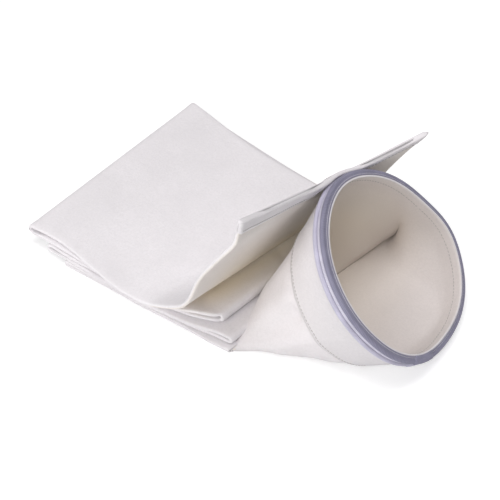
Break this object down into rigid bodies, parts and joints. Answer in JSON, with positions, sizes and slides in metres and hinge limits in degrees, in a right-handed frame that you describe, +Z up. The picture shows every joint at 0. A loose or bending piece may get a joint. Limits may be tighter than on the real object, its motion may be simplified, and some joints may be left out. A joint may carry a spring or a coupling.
{
  "type": "dust collector filter bag",
  "caption": "Folded tubular needle-felt filter bag with a sewn end and a double-bead snap-band collar at its open mouth.",
  "frame": {"origin": "middle of the footprint of the whole bag, on the surface it lies on", "axes": "+X along the folded pack towards the open mouth, +Y across the flat tube, +Z up"},
  "size_m": [0.3884, 0.2452, 0.196],
  "materials": {
    "felt": "white needle felt, matt",
    "cuff_felt": "white needle felt, matt",
    "woven_tape": "grey-lilac ribbed woven tape",
    "cord": "undyed filling cord",
    "spring_steel": "plain spring strip",
    "thread": "white sewing thread"
  },
  "bodies": {
    "bag": {"folded_tube": "felt", "mouth_sleeve": "felt", "cuff": "cuff_felt", "band_cover": "woven_tape", "upper_cord": "cord", "lower_cord": "cord", "snap_band": "spring_steel", "band_splice": "spring_steel", "band_thread": "thread", "cuff_thread": "thread"},
    "free_end": {"end_panel": "felt", "end_hem": "felt", "hem_thread_upper": "thread", "hem_thread_lower": "thread"}
  },
  "joints": [
    {"name": "free_end_unfolds", "type": "hinge", "parent": "bag", "child": "free_end", "pos_m": [-0.19419, 0, 0.01965], "axis": [0, -1, 0], "range_deg": [0, 135]}
  ]
}
